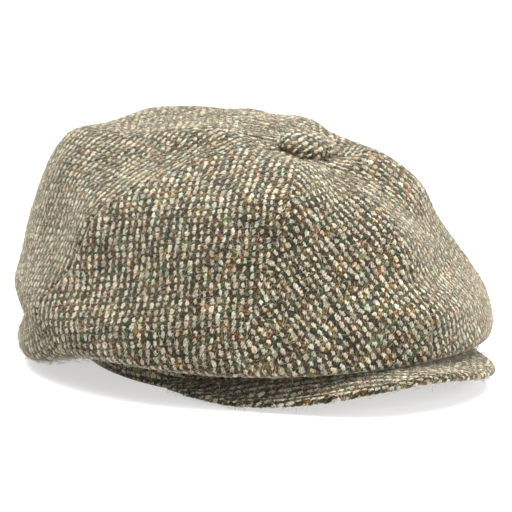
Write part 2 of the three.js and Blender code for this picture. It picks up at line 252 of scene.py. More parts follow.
def weave_height(threads):
    """Relief of the cloth from 0 in the gaps to 1 on the light floats."""
    x, y = threads[..., 0], threads[..., 1]
    height = 0
    for row in FLOATS:
        slant = math.radians(row["slant"])
        a = (x + y) / 2 + row["shift"]
        b = (y - x) / 2 - row["shift"]
        a = a - np.round(a)
        b = b - np.round(b)
        u = (a - b) * math.cos(slant) + (a + b) * math.sin(slant)
        v = (a + b) * math.cos(slant) - (a - b) * math.sin(slant)
        square = 1 - (u / row["half_width"]) ** 2 - (v / row["half_length"]) ** 2
        height = np.maximum(height, row["top"] * np.sqrt(np.clip(square, 0, 1)))
    return height


def mesh_object(name, points, faces, face_uvs, material):
    mesh = bpy.data.meshes.new(name)
    mesh.from_pydata(points.tolist(), [], faces)
    layer = mesh.uv_layers.new(name="weave")
    layer.data.foreach_set("uv", np.asarray(face_uvs, np.float32).ravel())
    mesh.polygons.foreach_set("use_smooth", [True] * len(mesh.polygons))
    mesh.materials.append(material)
    piece = bpy.data.objects.new(name, mesh)
    bpy.context.scene.collection.objects.link(piece)
    return piece


def srgb(code):
    """Linear colour of an sRGB hex value."""
    parts = [int(code[i : i + 2], 16) / 255 for i in (0, 2, 4)]
    linear = [p / 12.92 if p <= 0.04045 else ((p + 0.055) / 1.055) ** 2.4 for p in parts]
    return (*linear, 1.0)


def add_node(tree, kind, inputs=(), **settings):
    """Adds a node, sets its settings, and fills its inputs, in order or by name, with values or links."""
    new = tree.nodes.new(kind)
    for name, value in settings.items():
        setattr(new, name, value)
    named = inputs if isinstance(inputs, dict) else dict(enumerate(inputs))
    for key, value in named.items():
        if isinstance(value, bpy.types.NodeSocket):
            tree.links.new(value, new.inputs[key])
        else:
            new.inputs[key].default_value = value
    return new


# Tweed: woollen yarn, woven in the grease and left unpressed. The warp is cream to stone grey, the
# weft peat brown, and both have nubs of teal, rust, olive and blue-grey spun in, one or two floats
# long. Each float is thicker, thinner, paler or further along its thread than the next, because
# the yarn is spun uneven. Rough and matt, with a faint sheen from loose fibre.
WARP_YARN = ((0.0, "5f594b"), (0.35, "7b7464"), (0.7, "979080"), (1.0, "ada797"))
WEFT_YARN = ((0.0, "0f0b04"), (0.4, "261d0e"), (0.75, "453923"), (1.0, "655a40"))
YARNS = (
    dict(thread="warp", colours=WARP_YARN, palest_streak=0.7, darkest_streak=-0.2, nub="light"),
    dict(thread="weft", colours=WEFT_YARN, palest_streak=0.65, darkest_streak=-0.25, nub="dark"),
)
YARN_NUBS = (
    dict(name="teal", light=(0.83, 0.97, 0.95), dark=(0.66, 1.05, 1.08), share=0.57),
    dict(name="rust", light=(1.00, 0.87, 0.77), dark=(1.50, 1.00, 0.72), share=0.61),
    dict(name="olive", light=(0.97, 0.94, 0.80), dark=(1.18, 1.12, 0.74), share=0.62),
    dict(name="blue_grey", light=(0.90, 0.92, 0.98), dark=(0.90, 0.96, 1.16), share=0.62),
)
# What varies over the cloth. scale is in cycles to a thread spacing, which stretch multiplies, and
# turned is in degrees. Strands of the yarn are about a quarter of a millimetre wide and slant with
# its twist, fibres lie loose over warp and weft alike, and patches are a few centimetres across.
WOOL_PATTERNS = (
    dict(name="ragged", place=(0, 0, 0), scale=2.2, stretch=(1, 1, 1), turned=0, detail=3.0),
    dict(name="strands", place=(0, 0, 0), scale=1.0, stretch=(4.2, 1.6, 1), turned=-32, detail=3.0),
    dict(name="fibres", place=(4, 2, 0), scale=1.0, stretch=(5.5, 2.0, 1), turned=24, detail=3.0),
    dict(name="blend", place=(1, 6, 3), scale=0.42, stretch=(1, 1, 1), turned=0, detail=1.0),
    dict(name="patch", place=(0, 0, 0), scale=0.11, stretch=(1, 1, 1), turned=0, detail=2.0),
    dict(name="teal", place=(3, 0, 0), scale=0.42, stretch=(1.15, 0.85, 1), turned=0, detail=0.0),
    dict(name="rust", place=(0, 9, 0), scale=0.50, stretch=(1.15, 0.85, 1), turned=0, detail=0.0),
    dict(name="olive", place=(0, 0, 5), scale=0.55, stretch=(1.15, 0.85, 1), turned=0, detail=0.0),
    dict(name="blue_grey", place=(7, 4, 0), scale=0.58, stretch=(1.15, 0.85, 1), turned=0, detail=0.0),
)
FLOAT_STRAY = 0.34
FLOAT_GROWTH = 0.9
RAGGED_PUSH = (0.8, 0.8, 0)
STREAK_FROM = 0.38
STREAK_TO = 0.62
CLOUD_FROM = 0.3
CLOUD_TO = 0.7
BLEND_SHADE = 0.22
NUB_LOWERED = 0.15
NUB_STREAKS = 0.3
NUB_EDGE_INSIDE = 0.05
NUB_EDGE_OUTSIDE = 0.07
FRAYED_BY_STRANDS = -3.0
FRAYED_BY_FIBRES = -2.4
WARP_BARE = 1.7
WARP_COVERS = 0.8
# Painted shade in the gaps between floats: where it begins and ends, and how dark it makes the weft
GAP_FROM = 0.8
GAP_TO = 1.6
GAP_PAINTED_SHADE = 0.45
PATCH_DARKEST = 0.86
PATCH_PALEST = 1.1
WOOL_RELIEF = 0.9
BUMP_HEIGHT = 0.3 * MM
MATH = "ShaderNodeMath"
VECTOR_MATH = "ShaderNodeVectorMath"
MAP_RANGE = "ShaderNodeMapRange"


def tweed(name):
    material = bpy.data.materials.new(name)
    material.use_nodes = True
    tree = material.node_tree
    tree.nodes.clear()

    threads = add_node(tree, "ShaderNodeUVMap", uv_map="weave").outputs[0]
    pattern = {}
    for row in WOOL_PATTERNS:
        turned = (0, 0, math.radians(row["turned"]))
        axes = {0: threads, "Location": row["place"], "Rotation": turned, "Scale": row["stretch"]}
        axes = add_node(tree, "ShaderNodeMapping", axes).outputs[0]
        noise = {"Vector": axes, "Scale": row["scale"], "Detail": row["detail"]}
        pattern[row["name"]] = add_node(tree, "ShaderNodeTexNoise", noise).outputs
    strands = pattern["strands"][0]
    fibres = pattern["fibres"][0]
    middle_strand = add_node(tree, MATH, (strands, 0.5), operation="SUBTRACT").outputs[0]
    middle_fibre = add_node(tree, MATH, (fibres, 0.5), operation="SUBTRACT").outputs[0]

    # Threads with ragged edges, turned to the diagonals on which the floats lie
    ragged = (pattern["ragged"]["Color"], (0.5, 0.5, 0.5))
    ragged = add_node(tree, VECTOR_MATH, ragged, operation="SUBTRACT").outputs[0]
    ragged = (ragged, RAGGED_PUSH, threads)
    ragged = add_node(tree, VECTOR_MATH, ragged, operation="MULTIPLY_ADD").outputs[0]
    across, along = add_node(tree, "ShaderNodeSeparateXYZ", (ragged,)).outputs[:2]
    half_sum = add_node(tree, MATH, (across, along), operation="ADD").outputs[0]
    half_sum = add_node(tree, MATH, (half_sum, 0.5), operation="MULTIPLY").outputs[0]
    half_difference = add_node(tree, MATH, (along, across), operation="SUBTRACT").outputs[0]
    half_difference = add_node(tree, MATH, (half_difference, 0.5), operation="MULTIPLY").outputs[0]

    # Each float is an oval about its own crossing: its square is 0 in the middle and 1 at the edge
    square = {}
    luck = {}
    for row in FLOATS:
        slant = math.radians(row["slant"])
        a = add_node(tree, MATH, (half_sum, row["shift"]), operation="ADD").outputs[0]
        b = add_node(tree, MATH, (half_difference, row["shift"]), operation="SUBTRACT").outputs[0]
        cell_a = add_node(tree, MATH, (a,), operation="ROUND").outputs[0]
        cell_b = add_node(tree, MATH, (b,), operation="ROUND").outputs[0]
        a = add_node(tree, MATH, (a, cell_a), operation="SUBTRACT").outputs[0]
        b = add_node(tree, MATH, (b, cell_b), operation="SUBTRACT").outputs[0]
        cell = add_node(tree, "ShaderNodeCombineXYZ", (cell_a, cell_b, row["shift"])).outputs[0]
        chance = {"Vector": cell}
        chance = add_node(tree, "ShaderNodeTexWhiteNoise", chance, noise_dimensions="3D").outputs
        draws = add_node(tree, "ShaderNodeSeparateXYZ", (chance["Color"],)).outputs
        places = []
        for draw, operation in ((draws[0], "SUBTRACT"), (draws[1], "ADD")):
            stray = (draw, 0, 1, -FLOAT_STRAY / 2, FLOAT_STRAY / 2)
            stray = add_node(tree, MAP_RANGE, stray).outputs[0]
            place = add_node(tree, MATH, (a, b), operation=operation).outputs[0]
            places.append(add_node(tree, MATH, (place, stray), operation="ADD").outputs[0])
        x, y = places
        u = add_node(tree, MATH, (y, math.sin(slant)), operation="MULTIPLY").outputs[0]
        u = add_node(tree, MATH, (x, math.cos(slant), u), operation="MULTIPLY_ADD").outputs[0]
        u = add_node(tree, MATH, (u, row["half_width"]), operation="DIVIDE").outputs[0]
        v = add_node(tree, MATH, (x, -math.sin(slant)), operation="MULTIPLY").outputs[0]
        v = add_node(tree, MATH, (y, math.cos(slant), v), operation="MULTIPLY_ADD").outputs[0]
        v = add_node(tree, MATH, (v, row["half_length"]), operation="DIVIDE").outputs[0]
        v = add_node(tree, MATH, (v, v), operation="MULTIPLY").outputs[0]
        oval = add_node(tree, MATH, (u, u, v), operation="MULTIPLY_ADD").outputs[0]
        growth = (draws[2], 0, 1, 1 - FLOAT_GROWTH / 3, 1 + FLOAT_GROWTH)
        growth = add_node(tree, MAP_RANGE, growth).outputs[0]
        square[row["thread"]] = add_node(tree, MATH, (oval, growth), operation="MULTIPLY").outputs[0]
        luck[row["thread"]] = chance["Value"]

    # Colours of the yarns, streaked by their strands, with the nubs spun in
    blend = (pattern["blend"][0], CLOUD_FROM, CLOUD_TO, -BLEND_SHADE, BLEND_SHADE)
    blend = add_node(tree, MAP_RANGE, blend).outputs[0]
    colour = {}
    for yarn in YARNS:
        shade = (strands, STREAK_FROM, STREAK_TO, yarn["darkest_streak"], yarn["palest_streak"])
        shade = add_node(tree, MAP_RANGE, shade).outputs[0]
        shade = (luck[yarn["thread"]], 0.5, shade)
        shade = add_node(tree, MATH, shade, operation="MULTIPLY_ADD").outputs[0]
        shade = add_node(tree, MATH, (shade, blend), operation="ADD").outputs[0]
        ramp = add_node(tree, "ShaderNodeValToRGB", (shade,))
        while len(ramp.color_ramp.elements) < len(yarn["colours"]):
            ramp.color_ramp.elements.new(0.5)
        for element, (place, code) in zip(ramp.color_ramp.elements, yarn["colours"]):
            element.position = place
            element.color = srgb(code)
        colour[yarn["thread"]] = ramp.outputs[0]
    for nub in YARN_NUBS:
        spot = (pattern[nub["name"]][0], NUB_LOWERED)
        spot = add_node(tree, MATH, spot, operation="SUBTRACT").outputs[0]
        spot = add_node(tree, MATH, (strands, NUB_STREAKS, spot), operation="MULTIPLY_ADD").outputs[0]
        spot = (spot, nub["share"] - NUB_EDGE_INSIDE, nub["share"] + NUB_EDGE_OUTSIDE, 0.0, 1.0)
        spot = add_node(tree, MAP_RANGE, spot).outputs[0]
        for yarn in YARNS:
            mixed = {0: spot, 6: colour[yarn["thread"]], 7: (*nub[yarn["nub"]], 1.0)}
            mixed = add_node(tree, "ShaderNodeMix", mixed, data_type="RGBA", blend_type="MULTIPLY")
            colour[yarn["thread"]] = mixed.outputs[2]

    # Warp over weft, frayed where they meet, with painted shade darkening the weft in the gaps between
    # floats
    edge = (middle_strand, FRAYED_BY_STRANDS, square["warp"])
    edge = add_node(tree, MATH, edge, operation="MULTIPLY_ADD").outputs[0]
    edge = (middle_fibre, FRAYED_BY_FIBRES, edge)
    edge = add_node(tree, MATH, edge, operation="MULTIPLY_ADD").outputs[0]
    cover = (edge, WARP_BARE, WARP_COVERS, 0.0, 1.0)
    cover = add_node(tree, MAP_RANGE, cover, interpolation_type="SMOOTHSTEP").outputs[0]
    # Painted shade: where neither float covers it, the weft is darkened as if shaded by the floats around it
    painted_gap_shade = add_node(tree, MATH, (square["warp"], square["weft"]), operation="MINIMUM").outputs[0]
    painted_gap_shade = (painted_gap_shade, GAP_FROM, GAP_TO, 1.0, GAP_PAINTED_SHADE)
    painted_gap_shade = add_node(tree, MAP_RANGE, painted_gap_shade, interpolation_type="SMOOTHSTEP").outputs[0]
    weft = {0: colour["weft"], 3: painted_gap_shade}
    weft = add_node(tree, VECTOR_MATH, weft, operation="SCALE").outputs[0]
    cloth = {0: cover, 6: weft, 7: colour["warp"]}
    cloth = add_node(tree, "ShaderNodeMix", cloth, data_type="RGBA").outputs[2]
    patch = (pattern["patch"][0], CLOUD_FROM, CLOUD_TO, PATCH_DARKEST, PATCH_PALEST)
    patch = add_node(tree, MAP_RANGE, patch).outputs[0]
    cloth = add_node(tree, VECTOR_MATH, {0: cloth, 3: patch}, operation="SCALE").outputs[0]

    domes = []
    for row in FLOATS:
        dome = (1.0, square[row["thread"]])
        dome = add_node(tree, MATH, dome, operation="SUBTRACT", use_clamp=True).outputs[0]
        dome = add_node(tree, MATH, (dome,), operation="SQRT").outputs[0]
        domes.append(add_node(tree, MATH, (dome, row["top"]), operation="MULTIPLY").outputs[0])
    height = add_node(tree, MATH, tuple(domes), operation="MAXIMUM").outputs[0]
    for wool in (strands, fibres):
        height = add_node(tree, MATH, (wool, WOOL_RELIEF, height), operation="MULTIPLY_ADD").outputs[0]
    bump = {"Strength": 0.7, "Distance": BUMP_HEIGHT, "Height": height}
    bump = add_node(tree, "ShaderNodeBump", bump).outputs[0]
    shader = add_node(tree, "ShaderNodeBsdfPrincipled", {"Base Color": cloth, "Normal": bump})
    shader.inputs["Roughness"].default_value = 0.92
    shader.inputs["Specular IOR Level"].default_value = 0.15
    shader.inputs["Sheen Weight"].default_value = 0.45
    shader.inputs["Sheen Tint"].default_value = srgb("cfc6b4")
    shader.inputs["Sheen Roughness"].default_value = 0.5
    add_node(tree, "ShaderNodeOutputMaterial", (shader.outputs[0],))
    return material


woven_tweed = tweed("woven_wool_tweed")

# seam is where a gore begins and grain how far its rows are turned, both in degrees
PANELS = (
    dict(name="front_right", seam=0, grain=-10),
    dict(name="side_right", seam=45, grain=-16),
    dict(name="rear_right", seam=90, grain=-17),
    dict(name="back_right", seam=135, grain=-14),
    dict(name="back_left", seam=180, grain=-8),
    dict(name="rear_left", seam=225, grain=-12),
    dict(name="side_left", seam=270, grain=-10),
    dict(name="front_left", seam=315, grain=-37),
)
ROW_SPACING = 0.95 * MM
GORE_COLUMNS = 126
COARSE = 6
SEAM_WIDTH = 1.1 * MM
SEAM_SINK = 0.8 * MM
SEAM_MARGIN = 0.02 * MM
SEAM_FLATTENING = 0.7
NARROW_GORE = 20 * MM
WEAVE_MIDDLE = 0.55
WEAVE_FROM_LEVEL = 0.8
WEAVE_FADE = 0.5
FLATTENING_ROUNDS = 30
FIRST_GORE_SEED = 11
GORE_SHIFT = 60


def laid_flat(points):
    """Flat coordinates of a curved piece of cloth, stretched as little as can be: each triangle is
    turned to lie best, then all are joined again, a few times over."""
    rows, columns = points.shape[:2]
    at = np.arange(rows * columns).reshape(rows, columns)
    upper = np.stack([at[:-1, :-1], at[:-1, 1:], at[1:, 1:]], axis=-1).reshape(-1, 3)
    lower = np.stack([at[:-1, :-1], at[1:, 1:], at[1:, :-1]], axis=-1).reshape(-1, 3)
    triangles = np.concatenate([upper, lower])
    corners = points.reshape(-1, 3)[triangles]
    side = corners[:, 1] - corners[:, 0]
    other = corners[:, 2] - corners[:, 0]
    normal = np.cross(side, other)
    local = np.zeros((len(triangles), 3, 2))
    local[:, 1, 0] = np.linalg.norm(side, axis=-1)
    local[:, 2, 0] = (other * side).sum(axis=-1) / local[:, 1, 0]
    local[:, 2, 1] = np.linalg.norm(normal, axis=-1) / local[:, 1, 0]
    joins = np.zeros((rows * columns, rows * columns))
    edges = []
    for k in range(3):
        i, j = (k + 1) % 3, (k + 2) % 3
        p = local[:, i] - local[:, k]
        q = local[:, j] - local[:, k]
        weight = (p * q).sum(axis=-1) / (p[:, 0] * q[:, 1] - p[:, 1] * q[:, 0])
        edges.append((triangles[:, i], triangles[:, j], weight[:, None], local[:, i] - local[:, j]))
        for a, b in ((i, j), (j, i)):
            np.add.at(joins, (triangles[:, a], triangles[:, a]), weight)
            np.add.at(joins, (triangles[:, a], triangles[:, b]), -weight)
    joins[0, 0] += 1
    solved = np.linalg.inv(joins)
    middle = columns // 2
    across = np.linalg.norm(np.diff(points, axis=1), axis=-1)
    across = np.concatenate([np.zeros((rows, 1)), np.cumsum(across, axis=1)], axis=1)
    down = np.linalg.norm(np.diff(points[:, middle], axis=0), axis=-1)
    down = np.concatenate([[0], np.cumsum(down)])[:, None] + 0 * across
    flat = np.stack([across - across[:, middle : middle + 1], down], axis=-1).reshape(-1, 2)
    for _ in range(FLATTENING_ROUNDS):
        best = 0
        for a, b, weight, edge in edges:
            best = best + weight[..., None] * (flat[a] - flat[b])[:, :, None] * edge[:, None, :]
        cosine = best[:, 0, 0] + best[:, 1, 1]
        sine = best[:, 1, 0] - best[:, 0, 1]
        size = np.maximum(np.hypot(cosine, sine), 1e-15)
        cosine, sine = cosine / size, sine / size
        pull = np.zeros_like(flat)
        for a, b, weight, edge in edges:
            turned_x = cosine * edge[:, 0] - sine * edge[:, 1]
            turned_y = sine * edge[:, 0] + cosine * edge[:, 1]
            turned = weight * np.stack([turned_x, turned_y], axis=-1)
            np.add.at(pull, a, turned)
            np.add.at(pull, b, -turned)
        flat = solved @ pull
    flat = flat.reshape(rows, columns, 2)
    line = flat[rows * 3 // 4, middle] - flat[rows // 4, middle]
    return turn(flat, -math.degrees(math.atan2(line[0], line[1])))


def finer(grid):
    for _ in range(2):
        places = np.arange((len(grid) - 1) * COARSE + 1) / COARSE
        grid = between_rows(grid, places).swapaxes(0, 1)
    return grid


def turn(flat, degrees):
    angle = math.radians(degrees)
    x = flat[..., 0] * math.cos(angle) + flat[..., 1] * math.sin(angle)
    y = flat[..., 1] * math.cos(angle) - flat[..., 0] * math.sin(angle)
    return np.stack([x, y], axis=-1)


def even_levels(seam):
    fine = np.linspace(0, INNER_LEVEL, 400)
    points = crown_surface(seam, np.array([0.5]), fine)[0][:, 0]
    length = np.concatenate([[0], np.cumsum(np.linalg.norm(np.diff(points, axis=0), axis=-1))])
    count = COARSE * math.ceil(length[-1] / ROW_SPACING / COARSE)
    return np.interp(np.linspace(0, length[-1], count + 1), length, fine)


def gore(panel, index):
    levels = even_levels(panel["seam"])
    plain, _ = crown_surface(panel["seam"], np.linspace(0, 1, 9), levels)
    width = np.linalg.norm(np.diff(plain, axis=1), axis=-1).sum(axis=1)
    across = np.linspace(0, 1, GORE_COLUMNS + 1)
    margin = SEAM_MARGIN / np.maximum(width.max(), 1e-6)
    points, normals = crown_surface(panel["seam"], margin + (1 - 2 * margin) * across, levels)
    flat = finer(laid_flat(points[::COARSE, ::COARSE]))
    threads = drift(turn(flat, panel["grain"]), FIRST_GORE_SEED + index) + GORE_SHIFT * index
    to_seam = np.minimum(across, 1 - across)[None] * width[:, None]
    roll = np.exp(-((to_seam / SEAM_WIDTH) ** 2)) * np.clip(width / NARROW_GORE, 0, 1)[:, None]
    under_button = np.clip((levels - WEAVE_FROM_LEVEL) / WEAVE_FADE, 0, 1)[:, None]
    over_band = np.clip((BAND_LEVEL - levels) / WEAVE_FADE, 0, 1)[:, None]
    sewn = under_button * over_band
    height = RELIEF * (weave_height(threads) - WEAVE_MIDDLE) * (1 - SEAM_FLATTENING * roll) * sewn
    height = height - SEAM_SINK * roll
    outer = points + normals * height[..., None]
    inner = (points - normals * CLOTH_THICKNESS)[::COARSE, ::COARSE]
    return outer, inner, threads


def shell(name, outer, inner, threads, material):
    """A closed wall: a fine outside, a plain inside, and edges that join the two."""
    rows, columns = outer.shape[:2]
    coarse_rows, coarse_columns = inner.shape[:2]
    out = np.arange(rows * columns).reshape(rows, columns)
    back = rows * columns + np.arange(coarse_rows * coarse_columns).reshape(coarse_rows, coarse_columns)
    points = np.concatenate([outer.reshape(-1, 3), inner.reshape(-1, 3)])
    uvs = np.concatenate([threads.reshape(-1, 2), threads[::COARSE, ::COARSE].reshape(-1, 2)])
    quads = np.stack([out[:-1, :-1], out[:-1, 1:], out[1:, 1:], out[1:, :-1]], axis=-1).reshape(-1, 4)
    behind = np.stack([back[:-1, :-1], back[1:, :-1], back[1:, 1:], back[:-1, 1:]], axis=-1).reshape(-1, 4)
    faces = quads.tolist() + behind.tolist()
    rims = (
        (out[0, ::-1], back[0, ::-1]),
        (out[-1], back[-1]),
        (out[:, 0], back[:, 0]),
        (out[::-1, -1], back[::-1, -1]),
    )
    for fine, plain in rims:
        for i in range(len(plain) - 1):
            edge = fine[i * COARSE : (i + 1) * COARSE + 1]
            faces.append([int(v) for v in (*edge[::-1], plain[i], plain[i + 1])][::-1])
    return mesh_object(name, points, faces, uvs[np.concatenate([np.ravel(f) for f in faces])], material)


# Loose wool: fibres that stand up from the yarn, pale and dark as the yarn is. They are drawn a few
# times thicker than real ones, which wouldn't show, and fewer.
FIBRES_PER_SQUARE_METRE = 175000.0
FIBRE_LENGTH = 3.2 * MM
FIBRE_RISE = 0.9 * MM
FIBRE_RADIUS = 0.05 * MM
FIBRE_TILT = math.radians(30)
FIBRE_SMALLEST = 0.45
FIBRE_LARGEST = 1.35
FIBRE_COLOURS = ((0.3, "4c4334"), (0.5, "888070"), (0.7, "aca596"))
FIBRE_MOTTLE = 2.5 * MM
FIRST_FIBRE_SEED = 100

loose_wool = bpy.data.materials.new("loose_wool_fibre")
loose_wool.use_nodes = True
wool_tree = loose_wool.node_tree
wool_shader = wool_tree.nodes["Principled BSDF"]
wool_shader.inputs["Roughness"].default_value = 0.8
wool_shader.inputs["Specular IOR Level"].default_value = 0.2
place_on_cap = add_node(wool_tree, "ShaderNodeTexCoord").outputs["Object"]
mottle = {"Vector": place_on_cap, "Scale": 1 / FIBRE_MOTTLE, "Detail": 0.0}
mottle = add_node(wool_tree, "ShaderNodeTexNoise", mottle).outputs[0]
wool_ramp = add_node(wool_tree, "ShaderNodeValToRGB", (mottle,))
wool_ramp.color_ramp.elements.new(0.5)
for element, (spot, code) in zip(wool_ramp.color_ramp.elements, FIBRE_COLOURS):
    element.position = spot
    element.color = srgb(code)
wool_tree.links.new(wool_ramp.outputs[0], wool_shader.inputs["Base Color"])


def fibre_tree():
    """Scatters bent fibres over the faces marked as hairy."""
    tree = bpy.data.node_groups.new("wool_fibres", "GeometryNodeTree")
    face = tree.interface
    face.new_socket("Cloth", in_out="INPUT", socket_type="NodeSocketGeometry")
    for name in ("Density", "Length", "Rise", "Radius"):
        face.new_socket(name, in_out="INPUT", socket_type="NodeSocketFloat")
    face.new_socket("Seed", in_out="INPUT", socket_type="NodeSocketInt")
    face.new_socket("Fibres", in_out="OUTPUT", socket_type="NodeSocketGeometry")
    given = add_node(tree, "NodeGroupInput").outputs
    hairy = add_node(tree, "GeometryNodeInputNamedAttribute", {"Name": "hairy"}, data_type="BOOLEAN")
    where = {
        "Mesh": given["Cloth"],
        "Selection": hairy.outputs["Attribute"],
        "Density": given["Density"],
        "Seed": given["Seed"],
    }
    roots = add_node(tree, "GeometryNodeDistributePointsOnFaces", where)
    half = add_node(tree, MATH, (given["Length"], 0.5), operation="MULTIPLY").outputs[0]
    crest = add_node(tree, MATH, (given["Rise"], 1.5), operation="MULTIPLY").outputs[0]
    middle = add_node(tree, "ShaderNodeCombineXYZ", {"X": half, "Z": crest}).outputs[0]
    tip = {"X": given["Length"], "Y": half, "Z": given["Rise"]}
    tip = add_node(tree, "ShaderNodeCombineXYZ", tip).outputs[0]
    bend = {
        "Resolution": 2,
        "Start": (0, 0, 0),
        "Start Handle": middle,
        "End Handle": middle,
        "End": tip,
    }
    bend = add_node(tree, "GeometryNodeCurvePrimitiveBezierSegment", bend, mode="POSITION").outputs[0]
    section = {"Resolution": 3, "Radius": given["Radius"]}
    section = add_node(tree, "GeometryNodeCurvePrimitiveCircle", section).outputs[0]
    sweep = {"Curve": bend, "Profile Curve": section, "Fill Caps": True}
    fibre = add_node(tree, "GeometryNodeCurveToMesh", sweep).outputs[0]
    least = (-FIBRE_TILT, -FIBRE_TILT, 0)
    most = (FIBRE_TILT, FIBRE_TILT, 2 * math.pi)
    turns = {0: least, 1: most, "Seed": given["Seed"]}
    turns = add_node(tree, "FunctionNodeRandomValue", turns, data_type="FLOAT_VECTOR").outputs[0]
    turns = add_node(tree, "FunctionNodeEulerToRotation", (turns,)).outputs[0]
    turned = {"Rotation": roots.outputs["Rotation"], "Rotate By": turns}
    turned = add_node(tree, "FunctionNodeRotateRotation", turned, rotation_space="LOCAL").outputs[0]
    sizes = {2: FIBRE_SMALLEST, 3: FIBRE_LARGEST, "Seed": given["Seed"]}
    sizes = add_node(tree, "FunctionNodeRandomValue", sizes).outputs[1]
    scattered = {
        "Points": roots.outputs["Points"],
        "Instance": fibre,
        "Rotation": turned,
        "Scale": sizes,
    }
    scattered = add_node(tree, "GeometryNodeInstanceOnPoints", scattered).outputs[0]
    joined = add_node(tree, "GeometryNodeRealizeInstances", (scattered,)).outputs[0]
    finished = {"Geometry": joined, "Material": loose_wool}
    finished = add_node(tree, "GeometryNodeSetMaterial", finished).outputs[0]
    add_node(tree, "NodeGroupOutput", {"Fibres": finished})
    return tree


wool_fibres = fibre_tree()


def loose_fibres(piece, hairy_faces, seed):
    """Fibres on the first faces of a piece, as a piece of their own."""
    marks = piece.data.attributes.new("hairy", "BOOLEAN", "FACE")
    marks.data.foreach_set("value", [face < hairy_faces for face in range(len(piece.data.polygons))])
    grow = piece.modifiers.new("fibres", "NODES")
    grow.node_group = wool_fibres
    values = {
        "Density": FIBRES_PER_SQUARE_METRE,
        "Length": FIBRE_LENGTH,
        "Rise": FIBRE_RISE,
        "Radius": FIBRE_RADIUS,
        "Seed": seed,
    }
    for socket in wool_fibres.interface.items_tree:
        if socket.name in values:
            grow[socket.identifier] = values[socket.name]
    evaluated = piece.evaluated_get(bpy.context.evaluated_depsgraph_get())
    mesh = bpy.data.meshes.new_from_object(evaluated)
    piece.modifiers.remove(grow)
    fuzz = bpy.data.objects.new("fibres_on_" + piece.name, mesh)
    bpy.context.scene.collection.objects.link(fuzz)
    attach(fuzz, "root")


for index, panel in enumerate(PANELS):
    outer, inner, threads = gore(panel, index)
    piece = shell("gore_" + panel["name"], outer, inner, threads, woven_tweed)
    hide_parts("crown_panel_" + panel["name"])
    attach(piece, "root")
    loose_fibres(piece, (outer.shape[0] - 1) * (outer.shape[1] - 1), FIRST_FIBRE_SEED + index)

# Headband
# An oval strip of the same tweed on a stiff tape, 20 mm tall, sewn round the bottom of the crown.
# It is what the cap stands on. It lies in the crown's shade, so only its lower edge shows.
BAND_TURNS = 480
BAND_ROWS = 24
BAND_EDGE = 0.6 * MM
BAND_GRAIN = 45
BAND_SEED = 31


def band_profile():
    half = BAND_THICKNESS / 2
    corner = BAND_EDGE
    sides = []
    for z in np.linspace(corner, BAND_HEIGHT - corner, BAND_ROWS):
        sides.append((half, z, 1))
    sides += [(half - corner, BAND_HEIGHT, 0), (corner - half, BAND_HEIGHT, 0)]
    for z in np.linspace(BAND_HEIGHT - corner, corner, BAND_ROWS // 3):
        sides.append((-half, z, 0))
    sides += [(corner - half, 0, 0), (half - corner, 0, 0)]
    return np.array(sides)


def ring_mesh(name, sections, threads, material, closed):
    count, size = sections.shape[:2]
    at = np.arange(count * size).reshape(count, size)
    following = np.roll(at, -1, axis=0) if closed else at[1:]
    these = at if closed else at[:-1]
    faces = np.stack([these, following, np.roll(following, -1, axis=1), np.roll(these, -1, axis=1)], axis=-1)
    step_round = np.array([[0, 0], [1, 0], [1, 1], [0, 1]])
    grid_i = np.arange(len(these))[:, None, None] + step_round[:, 0]
    grid_j = np.arange(size)[None, :, None] + step_round[:, 1]
    uvs = threads[grid_i, grid_j].reshape(-1, 2)
    faces = faces.reshape(-1, 4).tolist()
    if not closed:
        faces += [at[0].tolist(), at[-1, ::-1].tolist()]
        uvs = np.concatenate([uvs, threads[0, :-1], threads[-1, -2::-1]])
    return mesh_object(name, sections.reshape(-1, 3), faces, uvs, material)


profile = band_profile()
wrap = np.concatenate([profile, profile[:1]])
around_band = -np.linspace(0, 360, BAND_TURNS + 1)
middle_half_width = BAND_HALF_WIDTH - BAND_THICKNESS / 2
middle_half_length = BAND_HALF_LENGTH - BAND_THICKNESS / 2
middle_radius = oval_radius(around_band, middle_half_width, middle_half_length)
middle_line = plan_point(around_band, middle_radius, 0, 0.0)
band_length = np.concatenate([[0], np.cumsum(np.linalg.norm(np.diff(middle_line, axis=0), axis=-1))])
around_profile = np.concatenate([[0], np.cumsum(np.linalg.norm(np.diff(wrap[:, :2], axis=0), axis=-1))])
flat = np.stack(np.broadcast_arrays(band_length[:, None], around_profile[None]), axis=-1)
threads = drift(turn(flat, BAND_GRAIN), BAND_SEED)
relief = RELIEF * (weave_height(threads[:, :-1]) - 1) * profile[None, :, 2]
ring_radius = middle_radius[:, None] + profile[None, :, 0] + relief
sections = plan_point(around_band[:, None], ring_radius, 0, profile[None, :, 1])
headband = ring_mesh("headband_strip", sections[:-1], threads, woven_tweed, closed=True)
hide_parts("headband")
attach(headband, "root")

# Peak
# A short stiff peak: tweed over a stiffener, 5 mm thick in all, arched over the brow, with a soft
# rolled edge. It is sewn to the front half of the headband, and its wings run along the sides.
PEAK_DEPTH = 44.5 * MM
PEAK_THICKNESS = 5 * MM
PEAK_HALF_ANGLE = 68
PEAK_ARCH = 2.2 * MM
PEAK_TWIST = 2.3 * MM
PEAK_TWIST_REACH = 0.26
